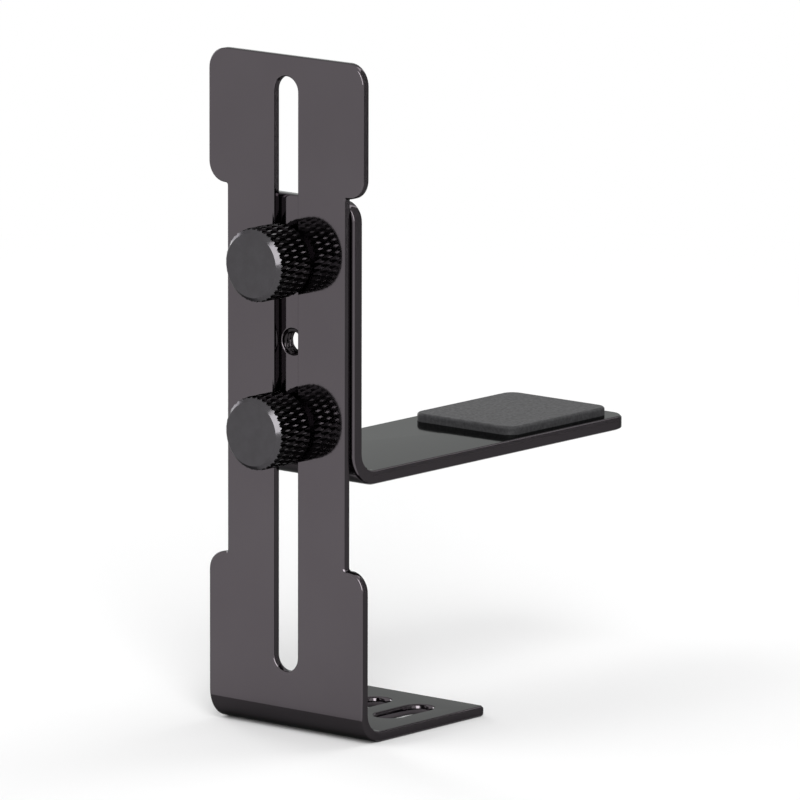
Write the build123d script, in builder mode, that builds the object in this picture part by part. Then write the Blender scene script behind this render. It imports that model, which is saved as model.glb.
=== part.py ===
"""Graphics card support bracket: a slotted base plate with a foot, a support plate
with an arm that slides up and down behind it, and two knurled thumbscrews that clamp them.

The foot stands on Z = 0 and runs back along +Y, with the origin in the middle of its centre slot.
The long slot lies on the plane X = 0. Sizes are in millimetres.
"""
import os
from math import cos, pi, sin

from build123d import *

# Base plate: one bent sheet with a wide base, a narrower waist and a wide head
base_sheet = 1.5
plate_width = 27.9
waist_inset = 3.35
base_height = 24.1
head_height = 18.7
head_corner_radius = 3.0
inner_corner_radius = 0.4
shoulder_land = 0.15
base_bend_radius = 4.3
foot_depth = 26.5
foot_corner_radius = 0.5

# Three slots in the foot for the screws that hold it down
foot_slot_width = 4.3
foot_slot_length = 10.5
foot_slot_pitch = 7.75
foot_slot_back_margin = 4.9

# Support plate: a second bent sheet that lies flat against the back of the base plate
support_sheet = 2.0
support_overhang = 0.5
support_bend_radius = 4.8
support_corner_radius = 2.8
support_head_margin = 8.75
arm_length = 62.0
arm_corner_radius = 3.0

# Soft pad on the outer end of the arm
pad_thickness = 1.2
pad_length = 22.0
pad_end_margin = 2.0
pad_side_margin = 2.0
pad_corner_radius = 2.0
pad_edge_radius = 0.4

# Thumbscrews, and the tapped holes that they sit in
thread_diameter = 3.5
thread_clearance = 0.05
hole_pitch = 11.7
hole_chamfer = 0.25
screw_above_bend = 2.8
screw_head_diameter = 10.3
screw_head_length = 7.1
screw_head_chamfer = 0.7
stud_projection = 3.0
stud_chamfer = 0.5
knurl_count = 36
knurl_depth = 0.25
knurl_tip_cut = 0.12
knurl_axial_pitch = 3.55

# Height adjustment: how far the arm can go down and up from where it stands
slot_clearance = 0.35
travel_below = 32.25
travel_above = 23.25
arm_foot_gap = 1.65
slot_head_margin = 2.85

# Broken edges of both sheets
edge_chamfer = 0.3

# Sizes that follow from the ones above
slot_width = thread_diameter + 2 * slot_clearance
tapped_diameter = thread_diameter + 2 * thread_clearance
waist_width = plate_width - 2 * waist_inset
shoulder_radius = waist_inset - inner_corner_radius - shoulder_land
support_width = waist_width + 2 * support_overhang

arm_underside = base_sheet + arm_foot_gap + travel_below
lower_screw_height = arm_underside + support_bend_radius + screw_above_bend
middle_hole_height = lower_screw_height + hole_pitch
upper_screw_height = middle_hole_height + hole_pitch
slot_bottom = lower_screw_height - travel_below - slot_width / 2
slot_top = upper_screw_height + travel_above + slot_width / 2
plate_height = slot_top + slot_head_margin
head_shoulder = plate_height - head_height
support_top = upper_screw_height + support_head_margin
arm_top = arm_underside + support_sheet
stud_length = base_sheet + support_sheet + stud_projection

# Planes that the sheets lie between, from front to back
front = foot_slot_back_margin + foot_slot_length / 2 - foot_depth
base_back = front + base_sheet
front_plane = Plane.XZ.offset(-front)
back_plane = Plane.XZ.offset(-base_back)

same_place = 1e-4


def rim_edges(sheet_part, sheet, bend_corner, bend_radius):
    """Edges round the outline and the holes of a bent sheet, without the bend's own lines."""

    def is_bend_line(edge):
        middle = edge.center()
        on_wall = abs(middle.Z - bend_corner.Z - bend_radius) < same_place
        on_floor = abs(middle.Y - bend_corner.Y - bend_radius) < same_place
        return on_wall or on_floor

    def crosses_sheet(edge):
        return edge.geom_type == GeomType.LINE and abs(edge.length - sheet) < same_place

    bend_lines = sheet_part.edges().filter_by(Axis.X).filter_by(is_bend_line)
    return sheet_part.edges().filter_by(crosses_sheet, reverse=True) - bend_lines


os.makedirs("parts", exist_ok=True)

# Base plate
with BuildPart() as base_plate:
    with BuildSketch(Plane.YZ):
        with BuildLine():
            FilletPolyline(
                (front, plate_height), (front, 0), (front + foot_depth, 0), radius=base_bend_radius
            )
            offset(amount=base_sheet, side=Side.LEFT)
        make_face()
    extrude(amount=plate_width / 2, both=True)

    # Outline seen from the front
    with BuildSketch(front_plane) as outline:
        with Locations((0, plate_height / 2)):
            Rectangle(plate_width, plate_height)
        with Locations((0, (base_height + head_shoulder) / 2)):
            with GridLocations(plate_width, 0, 2, 1):
                Rectangle(2 * waist_inset, head_shoulder - base_height, mode=Mode.SUBTRACT)
        inner_corners = outline.vertices().filter_by_position(
            Axis.X, -plate_width / 2, plate_width / 2, inclusive=(False, False)
        )
        fillet(inner_corners, inner_corner_radius)
        outer_columns = outline.vertices().group_by(Axis.X)
        outer_corners = [column.sort_by(Axis.Y) for column in (outer_columns[0], outer_columns[-1])]
        fillet([corner for column in outer_corners for corner in column[1:3]], shoulder_radius)
        head_corners = outline.vertices().group_by(Axis.Y)[-1]
        fillet(head_corners, head_corner_radius)
    extrude(amount=-foot_depth, mode=Mode.INTERSECT)

    # Long slot for the two studs
    with BuildSketch(front_plane):
        with Locations((0, (slot_bottom + slot_top) / 2)):
            SlotOverall(slot_top - slot_bottom, slot_width, rotation=90)
    extrude(amount=-base_sheet, mode=Mode.SUBTRACT)

    # Slots in the foot, and the foot's own corners
    with BuildSketch(Plane.XY):
        with GridLocations(foot_slot_pitch, 0, 3, 1):
            SlotOverall(foot_slot_length, foot_slot_width, rotation=90)
    extrude(amount=base_sheet, mode=Mode.SUBTRACT)
    foot_corners = base_plate.edges().filter_by(Axis.Z).group_by(Axis.Y)[-1]
    fillet(foot_corners, foot_corner_radius)

    chamfer(rim_edges(base_plate.part, base_sheet, Vector(0, front, 0), base_bend_radius), edge_chamfer)

base_plate.part.label = "base_plate"
export_step(base_plate.part, "parts/base_plate.step")

# Support plate
with BuildPart() as support_plate:
    with BuildSketch(Plane.YZ):
        with BuildLine():
            FilletPolyline(
                (base_back, support_top),
                (base_back, arm_underside),
                (front + arm_length, arm_underside),
                radius=support_bend_radius,
            )
            offset(amount=support_sheet, side=Side.LEFT)
        make_face()
    extrude(amount=support_width / 2, both=True)
    top_corners = support_plate.edges().filter_by(Axis.Y).group_by(Axis.Z)[-1]
    fillet(top_corners, support_corner_radius)
    arm_corners = support_plate.edges().filter_by(Axis.Z).group_by(Axis.Y)[-1]
    fillet(arm_corners, arm_corner_radius)
    support_corner = Vector(0, base_back, arm_underside)
    support_rims = rim_edges(support_plate.part, support_sheet, support_corner, support_bend_radius)
    chamfer(support_rims, edge_chamfer)

    # Three tapped holes in line, with the edge broken at the front
    with BuildSketch(back_plane):
        with Locations((0, middle_hole_height)):
            with GridLocations(0, hole_pitch, 1, 3):
                Circle(tapped_diameter / 2)
    extrude(amount=-support_sheet, mode=Mode.SUBTRACT)
    front_rims = support_plate.edges().filter_by(GeomType.CIRCLE).group_by(Axis.Y)[0]
    chamfer(front_rims, hole_chamfer)

support_plate.part.label = "support_plate"
export_step(support_plate.part, "parts/support_plate.step")

# Pad on the arm
with BuildPart() as arm_pad:
    with BuildSketch(Plane.XY.offset(arm_top)):
        with Locations((0, front + arm_length - pad_end_margin - pad_length / 2)):
            RectangleRounded(support_width - 2 * pad_side_margin, pad_length, pad_corner_radius)
    extrude(amount=pad_thickness)
    fillet(arm_pad.faces().sort_by(Axis.Z)[-1].edges(), pad_edge_radius)

arm_pad.part.label = "arm_pad"
export_step(arm_pad.part, "parts/arm_pad.step")


def knurled_bar():
    """A bar for a thumbscrew's head: rows of four-sided teeth with flat tops, each row half a tooth
    round from the one before. A fan of facets closes it beyond each end of the head."""
    rows = round(2 * screw_head_length / knurl_axial_pitch)
    flat_radius = screw_head_diameter / 2
    valley_radius = flat_radius - knurl_depth
    tip_radius = flat_radius + knurl_tip_cut

    def along(row):
        return Vector(0, -screw_head_length * row / rows, 0)

    def outward(step):
        angle = pi * step / knurl_count
        return Vector(cos(angle), 0, sin(angle))

    def valley(row, step):
        return along(row) + outward(step) * valley_radius

    def tooth_steps(row):
        return range((row + 1) % 2, 2 * knurl_count, 2)

    outlines = []
    for row in range(rows + 1):
        for step in tooth_steps(row):
            tip = along(row) + outward(step) * tip_radius
            around = ((row, step + 1), (row + 1, step), (row, step - 1), (row - 1, step))
            corners = [valley(*place) for place in around]
            flat = []
            for corner in corners:
                share = knurl_tip_cut / (tip_radius - corner.dot(outward(step)))
                flat.append(tip + (corner - tip) * share)
            outlines.append(flat)
            outlines += [(corners[i - 1], corners[i], flat[i], flat[i - 1]) for i in range(len(flat))]

    for end, beyond in ((0, -1), (rows, rows + 1)):
        for step in tooth_steps(end):
            outlines.append((along(beyond), valley(end, step - 1), valley(beyond, step)))
            outlines.append((along(beyond), valley(beyond, step), valley(end, step + 1)))
    return Solid(Shell([Face(Wire.make_polygon(outline)) for outline in outlines]))


# Thumbscrew, with its axis along Y and the back of its head at Y = 0
with BuildPart() as thumbscrew:
    add(knurled_bar())

    # Chamfers at both ends, in flat facets that are half a tooth wide
    end_radius = screw_head_diameter / 2 - screw_head_chamfer
    half_length = screw_head_length / 2
    for distance, growth in ((0, 0), (half_length, half_length), (screw_head_length, 0)):
        with BuildSketch(Plane.XZ.offset(distance)):
            RegularPolygon(end_radius + growth, 2 * knurl_count)
    loft(ruled=True, mode=Mode.INTERSECT)

    with BuildSketch(Plane.XZ):
        Circle(thread_diameter / 2)
    extrude(amount=-stud_length)
    chamfer(thumbscrew.faces().sort_by(Axis.Y)[-1].edges(), stud_chamfer)

for name, height in (("upper_thumbscrew", upper_screw_height), ("lower_thumbscrew", lower_screw_height)):
    screw = Pos(0, front, height) * thumbscrew.part
    screw.label = name
    export_step(screw, f"parts/{name}.step")
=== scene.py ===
from math import cos, hypot, pi, radians, sin

import bmesh
import bpy
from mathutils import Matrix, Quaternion, Vector


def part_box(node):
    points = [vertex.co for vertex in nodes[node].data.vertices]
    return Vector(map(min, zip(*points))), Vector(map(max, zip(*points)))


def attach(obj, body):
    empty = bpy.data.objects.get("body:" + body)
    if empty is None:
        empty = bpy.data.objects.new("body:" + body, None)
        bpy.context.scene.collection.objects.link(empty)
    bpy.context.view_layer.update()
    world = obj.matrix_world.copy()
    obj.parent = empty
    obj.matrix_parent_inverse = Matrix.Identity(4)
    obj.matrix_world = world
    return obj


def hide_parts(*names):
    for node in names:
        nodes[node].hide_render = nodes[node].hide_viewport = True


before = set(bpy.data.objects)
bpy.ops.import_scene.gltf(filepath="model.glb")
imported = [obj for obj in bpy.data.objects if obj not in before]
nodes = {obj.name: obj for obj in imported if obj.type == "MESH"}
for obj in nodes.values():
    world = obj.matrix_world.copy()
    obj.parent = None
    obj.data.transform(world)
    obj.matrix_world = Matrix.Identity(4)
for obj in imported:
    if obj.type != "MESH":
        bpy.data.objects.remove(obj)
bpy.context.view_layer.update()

# A millimetre in metres, and the distance in millimetres below which two points are one
MM = 0.001
SAME_PLACE = 0.001


def middle_z(node):
    """Height of the middle of a solid, in millimetres."""
    low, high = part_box(node)
    return (low.z + high.z) / 2 / MM


# Places on the bracket that the pieces below share, in millimetres
SUPPORT_SHEET = 2.0
PLATE_FRONT_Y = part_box("base_plate")[0].y / MM
SUPPORT_FRONT_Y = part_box("support_plate")[0].y / MM
SUPPORT_BACK_Y = SUPPORT_FRONT_Y + SUPPORT_SHEET
SPARE_HOLE_Z = (middle_z("upper_thumbscrew") + middle_z("lower_thumbscrew")) / 2

# Names of the marks on faces that the materials read: the first places painted shade in the knurl's
# grooves and in the spare hole, the second marks worn places
SHADED_GROOVE = "shaded_groove"
WORN = "worn"


# Materials

# Darkest and lightest tone of each material, its painted shade in grooves and in the spare hole,
# its tone on worn places, and the tint of a metal where light grazes it
COAT_TONES = ((0.096, 0.085, 0.093), (0.102, 0.091, 0.099))
COAT_PAINTED_SHADE = (0.03, 0.027, 0.029)
COAT_GRAZING_TINT = (0.42, 0.435, 0.425, 1)
OXIDE_TONES = ((0.066, 0.063, 0.067), (0.074, 0.071, 0.076))
OXIDE_PAINTED_SHADE = (0.022, 0.021, 0.022)
OXIDE_WORN = (0.3, 0.295, 0.3)
OXIDE_GRAZING_TINT = (0.4, 0.4, 0.4, 1)
RUBBER_TONES = ((0.016, 0.016, 0.017), (0.03, 0.03, 0.032))

# Values that most of a noise lies between
NOISE_LOW = 0.3
NOISE_HIGH = 0.7


def add_node(tree, kind, inputs=None, **settings):
    """A new shader node, with its settings and the values of its unlinked inputs."""
    node = tree.nodes.new(kind)
    for name, value in settings.items():
        setattr(node, name, value)
    for name, value in (inputs or {}).items():
        node.inputs[name].default_value = value
    return node


def noise(tree, place, size_mm, detail):
    """Noise whose features are about this large, in the object's own coordinates."""
    node = add_node(tree, "ShaderNodeTexNoise", {"Scale": 1 / (size_mm * MM), "Detail": detail})
    tree.links.new(place, node.inputs["Vector"])
    return node.outputs["Fac"]


def ramp(tree, value, low, high, start=NOISE_LOW, end=NOISE_HIGH):
    """Maps a value between start and end onto the range from low to high."""
    inputs = {"From Min": start, "From Max": end, "To Min": low, "To Max": high}
    node = add_node(tree, "ShaderNodeMapRange", inputs)
    tree.links.new(value, node.inputs["Value"])
    return node.outputs["Result"]


def mix_colours(tree, value, low, high):
    """A colour between low and high, by a value from 0 to 1. Low may be another node's colour."""
    node = add_node(tree, "ShaderNodeMix", data_type="RGBA")
    sockets = {socket.identifier: socket for socket in [*node.inputs, *node.outputs]}
    if isinstance(low, tuple):
        sockets["A_Color"].default_value = (*low, 1)
    else:
        tree.links.new(low, sockets["A_Color"])
    sockets["B_Color"].default_value = (*high, 1)
    tree.links.new(value, sockets["Factor_Float"])
    return sockets["Result_Color"]


def combine(tree, operation, first, second):
    """One value from two, by this operation of the math node."""
    node = add_node(tree, "ShaderNodeMath", operation=operation)
    tree.links.new(first, node.inputs[0])
    tree.links.new(second, node.inputs[1])
    return node.outputs["Value"]


def mark(tree, name):
    """1 on the faces that carry this mark, and else 0."""
    return add_node(tree, "ShaderNodeAttribute", attribute_name=name).outputs["Fac"]


def bump(tree, height, distance_mm, strength):
    """Normals of a surface that rises by up to this distance as the height goes from 0 to 1."""
    node = add_node(tree, "ShaderNodeBump", {"Distance": distance_mm * MM, "Strength": strength})
    tree.links.new(height, node.inputs["Height"])
    return node.outputs["Normal"]


def new_material(name):
    """A material with its node tree, shader and object coordinates."""
    material = bpy.data.materials.new(name)
    material.use_nodes = True
    tree = material.node_tree
    place = add_node(tree, "ShaderNodeTexCoord").outputs["Object"]
    return material, tree, tree.nodes["Principled BSDF"], place


def plate_material():
    """Smooth dark gunmetal coat: a faint orange peel, soft cloudy changes of gloss and tone, and painted
    shade on marked faces.
    """
    material, tree, shader, place = new_material("gunmetal_coat")
    clouds = noise(tree, place, size_mm=14, detail=4)
    tone = mix_colours(tree, ramp(tree, clouds, low=0, high=1), *COAT_TONES)
    # Painted shade: the marked faces, the thread in the spare hole, are darkened
    tone = mix_colours(tree, mark(tree, SHADED_GROOVE), tone, COAT_PAINTED_SHADE)
    tree.links.new(tone, shader.inputs["Base Color"])
    fine = noise(tree, place, size_mm=0.6, detail=2)
    cloudy_gloss = ramp(tree, clouds, low=0.05, high=0.08)
    fine_gloss = ramp(tree, fine, low=0, high=0.02)
    tree.links.new(combine(tree, "ADD", cloudy_gloss, fine_gloss), shader.inputs["Roughness"])
    peel = bump(tree, noise(tree, place, size_mm=1.8, detail=1), distance_mm=0.002, strength=0.15)
    tree.links.new(peel, shader.inputs["Normal"])
    shader.inputs["Metallic"].default_value = 1.0
    shader.inputs["Specular Tint"].default_value = COAT_GRAZING_TINT
    return material


def screw_material():
    """Black oxide with a fine mottle of tone and gloss, painted shade in the knurl's grooves, and worn on
    the tops of teeth.
    """
    material, tree, shader, place = new_material("black_oxide")
    mottle = noise(tree, place, size_mm=1.2, detail=4)
    tone = mix_colours(tree, ramp(tree, mottle, low=0, high=1), *OXIDE_TONES)
    # Painted shade: the flanks of the knurl's teeth are darkened
    tone = mix_colours(tree, mark(tree, SHADED_GROOVE), tone, OXIDE_PAINTED_SHADE)
    patches = ramp(tree, noise(tree, place, size_mm=0.5, detail=3), low=0.7, high=1)
    wear = combine(tree, "MULTIPLY", mark(tree, WORN), patches)
    tone = mix_colours(tree, wear, tone, OXIDE_WORN)
    tree.links.new(tone, shader.inputs["Base Color"])
    fine = noise(tree, place, size_mm=0.15, detail=2)
    fine_gloss = ramp(tree, fine, low=0.14, high=0.22)
    worn_gloss = ramp(tree, wear, low=0, high=0.2, start=0, end=1)
    tree.links.new(combine(tree, "ADD", fine_gloss, worn_gloss), shader.inputs["Roughness"])
    tree.links.new(bump(tree, fine, distance_mm=0.002, strength=0.2), shader.inputs["Normal"])
    shader.inputs["Metallic"].default_value = 1.0
    shader.inputs["Specular Tint"].default_value = OXIDE_GRAZING_TINT
    return material


def pad_material():
    """Matt black rubber with a fine pebbled skin."""
    material, tree, shader, place = new_material("black_rubber")
    grain = noise(tree, place, size_mm=0.45, detail=3)
    tone = mix_colours(tree, ramp(tree, grain, low=0, high=1), *RUBBER_TONES)
    tree.links.new(tone, shader.inputs["Base Color"])
    tree.links.new(ramp(tree, grain, low=0.82, high=0.66), shader.inputs["Roughness"])
    tree.links.new(bump(tree, grain, distance_mm=0.06, strength=0.5), shader.inputs["Normal"])
    return material


COAT = plate_material()
OXIDE = screw_material()
RUBBER = pad_material()


# The solids that are shown as they are

# Facets that meet at less than FLAT_DEGREES become one face, and the shading breaks only where
# faces meet at more than CORNER_DEGREES. FACE_WEIGHT lets the larger faces keep flat shading.
FLAT_DEGREES = 0.5
CORNER_DEGREES = 60
FACE_WEIGHT = 100


def forget_normals(mesh):
    """Drops the normals that a mesh came with, so that its shading follows its faces again."""
    for name in ("custom_normal", "sharp_edge"):
        if name in mesh.attributes:
            mesh.attributes.remove(mesh.attributes[name])
    mesh.shade_smooth()


def dress_node(node, material):
    """Gives a solid its material, and normals that turn its chamfers into soft edges."""
    mesh = node.data
    mesh.materials.clear()
    mesh.materials.append(material)
    forget_normals(mesh)
    weld = node.modifiers.new("weld", "WELD")
    weld.merge_threshold = SAME_PLACE * MM
    flats = node.modifiers.new("flats", "DECIMATE")
    flats.decimate_type = "DISSOLVE"
    flats.angle_limit = radians(FLAT_DEGREES)
    corners = node.modifiers.new("corners", "EDGE_SPLIT")
    corners.split_angle = radians(CORNER_DEGREES)
    weighted = node.modifiers.new("weighted", "WEIGHTED_NORMAL")
    weighted.weight = FACE_WEIGHT


for node_name, node_material in (("base_plate", COAT), ("support_plate", COAT), ("arm_pad", RUBBER)):
    dress_node(nodes[node_name], node_material)


# Screw threads, and the pieces that carry them, in millimetres

STUD_RADIUS = 1.75
STUD_LENGTH = 6.5
STUD_CHAMFER = 0.5
THREAD_PITCH = 0.6
THREAD_DEPTH = 0.32

# Rings of corners in one pitch of the thread, and corners in one ring
THREAD_STEPS = 10
THREAD_SIDES = 36

# The thread's outline is a wave with straight flanks, stretched and lowered by these shares of
# its height and then cut off flat at the roots and the crests
WAVE_STRETCH = 1.5
WAVE_DROP = 0.2

# The spare hole, how far its thread stands in from its wall, and how far its sleeve goes into it
HOLE_RADIUS = 1.8
HOLE_CHAMFER = 0.25
HOLE_ROOT_GAP = 0.03
HOLE_SEAT = 0.1

# A face of a screw's head that faces along the axis by more than this share belongs to an end
END_SLOPE = 0.6

# Edges are shaded sharp where faces meet at more than this
SCREW_SHARP_DEGREES = 14
HOLE_SHARP_DEGREES = 30


def thread_height(along, side):
    """Height of the thread here, from 0 in the root to 1 on the crest."""
    turns = along / THREAD_PITCH - side / THREAD_SIDES
    wave = abs(2 * (turns % 1) - 1) * WAVE_STRETCH - WAVE_DROP
    return min(1.0, max(0.0, wave))


def join_rings(builder, low, high):
    """Faces all round between two rings of corners."""
    for i, (a, b) in enumerate(zip(low, high)):
        builder.faces.new([low[i - 1], a, b, high[i - 1]])


def add_tube(builder, start_y, length, centre_z, radius_at):
    """Rings of corners joined into a tube along +Y. radius_at gives each corner's radius."""
    rows = round(length / THREAD_PITCH * THREAD_STEPS)
    rings = []
    for row in range(rows + 1):
        along = length * row / rows
        ring = []
        for side in range(THREAD_SIDES):
            angle = 2 * pi * side / THREAD_SIDES
            radius = radius_at(along, side)
            place = (radius * sin(angle), start_y + along, centre_z + radius * cos(angle))
            ring.append(builder.verts.new(Vector(place) * MM))
        rings.append(ring)
    for low, high in zip(rings, rings[1:]):
        join_rings(builder, low, high)
    return rings


def finish_piece(name, builder, material, sharp_degrees, body):
    """Turns a built mesh into a piece that rides on a body."""
    bmesh.ops.recalc_face_normals(builder, faces=builder.faces)
    mesh = bpy.data.meshes.new(name)
    builder.to_mesh(mesh)
    builder.free()
    forget_normals(mesh)
    mesh.set_sharp_from_angle(angle=radians(sharp_degrees))
    mesh.materials.append(material)
    piece = bpy.data.objects.new(name, mesh)
    bpy.context.collection.objects.link(piece)
    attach(piece, body)
    return piece


def stud_radius(along, side):
    """The thread starts from its root at the head, and the chamfer cuts it off at the tip."""
    lift = thread_height(along, side) if along > 0 else 0.0
    limit = STUD_RADIUS - max(0.0, along - (STUD_LENGTH - STUD_CHAMFER))
    return min(STUD_RADIUS - THREAD_DEPTH * (1 - lift), limit)


def mark_knurl(builder, centre_z, head_radius):
    """Marks the flanks of the teeth for painted shade, and their flat tops as worn. Sizes are in metres.
    """
    shaded_groove = builder.faces.layers.float.new(SHADED_GROOVE)
    worn = builder.faces.layers.float.new(WORN)
    for face in builder.faces:
        radius = min(hypot(vert.co.x, vert.co.z - centre_z) for vert in face.verts)
        if radius > head_radius - SAME_PLACE * MM:
            face[worn] = 1.0
        elif abs(face.normal.y) < END_SLOPE and radius > head_radius / 2:
            face[shaded_groove] = 1.0


def make_thumbscrew(name, node, body):
    """The head of the solid, on a stud with a real thread."""
    low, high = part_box(node)
    centre_z = middle_z(node)
    builder = bmesh.new()
    builder.from_mesh(nodes[node].data)
    bmesh.ops.remove_doubles(builder, verts=builder.verts, dist=SAME_PLACE * MM)
    head_end = (PLATE_FRONT_Y + SAME_PLACE) * MM
    bmesh.ops.delete(builder, geom=[v for v in builder.verts if v.co.y > head_end], context="VERTS")
    mark_knurl(builder, centre_z * MM, (high.x - low.x) / 2)
    seat = [edge for edge in builder.edges if edge.is_boundary]
    rings = add_tube(builder, PLATE_FRONT_Y, STUD_LENGTH, centre_z, stud_radius)
    builder.faces.new(rings[-1])
    root = [edge for edge in builder.edges if edge.is_boundary and edge not in seat]
    bmesh.ops.bridge_loops(builder, edges=seat + root)
    screw = finish_piece(name, builder, OXIDE, SCREW_SHARP_DEGREES, body)
    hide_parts(node)


make_thumbscrew("upper_knurled_screw", "upper_thumbscrew", "upper_screw")
make_thumbscrew("lower_knurled_screw", "lower_thumbscrew", "lower_screw")


def hole_radius(along, side):
    """The inside of the sleeve, where the thread stands in from the wall of the hole."""
    return HOLE_RADIUS - HOLE_ROOT_GAP - THREAD_DEPTH * thread_height(along, side)


def seat_radius(along, side):
    """The outside of the sleeve, the same all over."""
    return HOLE_RADIUS + HOLE_SEAT


def make_hole_thread():
    """A thin sleeve set into the wall of the spare hole, with the thread on its inside."""
    start = SUPPORT_FRONT_Y + HOLE_CHAMFER
    length = SUPPORT_BACK_Y - start
    builder = bmesh.new()
    inside = add_tube(builder, start, length, SPARE_HOLE_Z, hole_radius)
    outside = add_tube(builder, start, length, SPARE_HOLE_Z, seat_radius)
    for end in (0, -1):
        join_rings(builder, inside[end], outside[end])
    # Every face of the sleeve is marked for painted shade inside the hole
    shaded_groove = builder.faces.layers.float.new(SHADED_GROOVE)
    for face in builder.faces:
        face[shaded_groove] = 1.0
    finish_piece("spare_hole_thread", builder, COAT, HOLE_SHARP_DEGREES, "support")


make_hole_thread()


# Stage, in metres: a pale floor that turns white away from the bracket, a white surround, and flags,
# which are grey sheets that show only in reflections as painted dark reflections and painted shade

WHITE = (1, 1, 1, 1)
FLOOR_COLOUR = (0.86, 0.86, 0.86, 1)
FLOOR_HALF = 4.0
FADE_START = 0.12
FADE_END = 0.4
FLAG_COLOUR = (0.3, 0.3, 0.3, 1)
FLAG_LIFT = 0.0001

# How strongly the white surround shows, and how strongly it lights the bracket
SEEN_STRENGTH = 1.0
LIGHT_STRENGTH = 0.5

# The point of the bracket that the lamps are turned to
LAMP_TARGET = (0, 0.012, 0.047)


def seen_directly(tree):
    """1 for what the camera sees, straight or in a reflection or through glass, and else 0."""
    path = add_node(tree, "ShaderNodeLightPath")
    value = path.outputs["Is Camera Ray"]
    for name in ("Is Glossy Ray", "Is Transmission Ray"):
        value = combine(tree, "MAXIMUM", value, path.outputs[name])
    return value


def floor_material():
    """Pale and matt round the bracket, and plain white further off."""
    material = bpy.data.materials.new("pale_floor")
    material.use_nodes = True
    tree = material.node_tree
    tree.nodes.remove(tree.nodes["Principled BSDF"])
    pale = add_node(tree, "ShaderNodeBsdfDiffuse", {"Color": FLOOR_COLOUR})
    white = add_node(tree, "ShaderNodeEmission", {"Color": WHITE, "Strength": SEEN_STRENGTH})
    distance = add_node(tree, "ShaderNodeVectorMath", operation="LENGTH")
    tree.links.new(add_node(tree, "ShaderNodeTexCoord").outputs["Object"], distance.inputs[0])
    fade = ramp(tree, distance.outputs["Value"], low=0, high=1, start=FADE_START, end=FADE_END)
    amount = combine(tree, "MULTIPLY", fade, seen_directly(tree))
    mixed = add_node(tree, "ShaderNodeMixShader")
    tree.links.new(amount, mixed.inputs["Fac"])
    tree.links.new(pale.outputs["BSDF"], mixed.inputs[1])
    tree.links.new(white.outputs["Emission"], mixed.inputs[2])
    tree.links.new(mixed.outputs["Shader"], tree.nodes["Material Output"].inputs["Surface"])
    return material


def make_card(name, corners, material):
    """A flat sheet of the stage."""
    mesh = bpy.data.meshes.new(name)
    mesh.from_pydata(corners, [], [range(len(corners))])
    mesh.materials.append(material)
    card = bpy.data.objects.new(name, mesh)
    bpy.context.collection.objects.link(card)
    return card


def flag_material():
    """Plain matt grey, seen only in reflections as a painted dark reflection."""
    material = bpy.data.materials.new("dark_flag")
    material.use_nodes = True
    shader = material.node_tree.nodes["Principled BSDF"]
    shader.inputs["Base Color"].default_value = FLAG_COLOUR
    shader.inputs["Roughness"].default_value = 1.0
    shader.inputs["Specular IOR Level"].default_value = 0.0
    return material


def lying(left, right, front, back, height):
    """Corners of a level sheet."""
    return [(left, front, height), (right, front, height), (right, back, height), (left, back, height)]


def standing(start, end, bottom, top):
    """Corners of an upright sheet between two points of the floor."""
    return [(*start, bottom), (*start, top), (*end, top), (*end, bottom)]


def make_stage():
    """The floor, and the flags on it."""
    floor = lying(left=-FLOOR_HALF, right=FLOOR_HALF, front=-FLOOR_HALF, back=FLOOR_HALF, height=0)
    make_card("floor", floor, floor_material())
    grey = flag_material()
    flags = {
        "flag_right": lying(left=0.0142, right=0.5, front=-0.014, back=0.6, height=FLAG_LIFT),
        "flag_left": lying(left=-0.4, right=-0.02, front=-0.016, back=0.4, height=FLAG_LIFT),
        # Painted shade on the floor just in front of the bend, seen only in the bend's reflection
        "painted_shade_front": lying(left=-0.04, right=0.04, front=-0.0212, back=-0.0131, height=FLAG_LIFT),
        "flag_standing": standing(start=(0.5, 0.005), end=(0.02, 0.6), bottom=FLAG_LIFT, top=0.6),
    }
    for name, corners in flags.items():
        flag = make_card(name, corners, grey)
        flag.visible_camera = False
        flag.visible_diffuse = False
        flag.visible_shadow = False
        flag.visible_transmission = False


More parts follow.
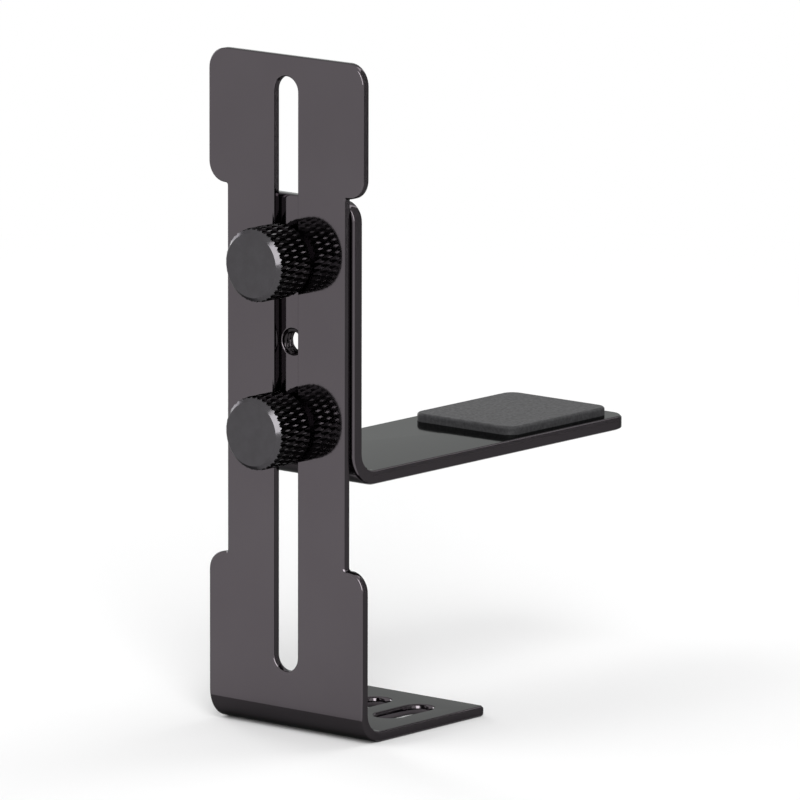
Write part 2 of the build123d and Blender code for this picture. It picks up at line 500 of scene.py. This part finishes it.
def make_world():
    """A white surround that shows more strongly than it lights."""
    world = bpy.data.worlds.new("studio")
    bpy.context.scene.world = world
    world.use_nodes = True
    tree = world.node_tree
    background = tree.nodes["Background"]
    background.inputs["Color"].default_value = WHITE
    strength = ramp(tree, seen_directly(tree), low=LIGHT_STRENGTH, high=SEEN_STRENGTH, start=0, end=1)
    tree.links.new(strength, background.inputs["Strength"])


def make_lamp(name, place, width, height, watts):
    """A soft lamp that points at the bracket."""
    data = bpy.data.lights.new(name, "AREA")
    data.shape = "RECTANGLE"
    data.size = width
    data.size_y = height
    data.energy = watts
    lamp = bpy.data.objects.new(name, data)
    bpy.context.collection.objects.link(lamp)
    lamp.location = place
    aim = Vector(LAMP_TARGET) - Vector(place)
    lamp.rotation_euler = aim.to_track_quat("-Z", "Y").to_euler()
    lamp.visible_camera = False
    return lamp


make_stage()
make_world()
make_lamp("front", place=(1.3, -1.39, 1.1), width=0.9, height=2.3, watts=42.0)
key_lamp = make_lamp("key", place=(-0.5, -0.6, 0.9), width=0.7, height=0.7, watts=3.0)
make_lamp("side", place=(-1.1, 0.38, 0.3), width=0.4, height=0.5, watts=5.0)
make_lamp("back", place=(0.2, 0.9, 0.8), width=0.7, height=0.7, watts=3.0)

# The key lamp lights matt surfaces only, and leaves no bright patch on the metal
key_lamp.visible_glossy = False


# Camera at the photograph's viewing angle: places in metres, lens and sensor in millimetres,
# and roll in degrees

CAMERA_PLACE = (0.96413, -1.14284, 0.32165)
CAMERA_TARGET = (0.00693, 0.0, 0.04532)
CAMERA_LENS = 493.86
CAMERA_SENSOR = 36.0
CAMERA_ROLL = 0.125


def make_camera():
    """A camera that looks at its target, turned by its roll about the line of sight."""
    data = bpy.data.cameras.new("camera")
    data.sensor_width = CAMERA_SENSOR
    data.lens = CAMERA_LENS
    camera = bpy.data.objects.new("camera", data)
    bpy.context.collection.objects.link(camera)
    camera.location = CAMERA_PLACE
    level = (Vector(CAMERA_TARGET) - Vector(CAMERA_PLACE)).to_track_quat("-Z", "Y")
    camera.rotation_mode = "QUATERNION"
    camera.rotation_quaternion = level @ Quaternion((0, 0, 1), radians(CAMERA_ROLL))
    bpy.context.scene.camera = camera


make_camera()
bpy.context.scene.view_settings.view_transform = "Standard"
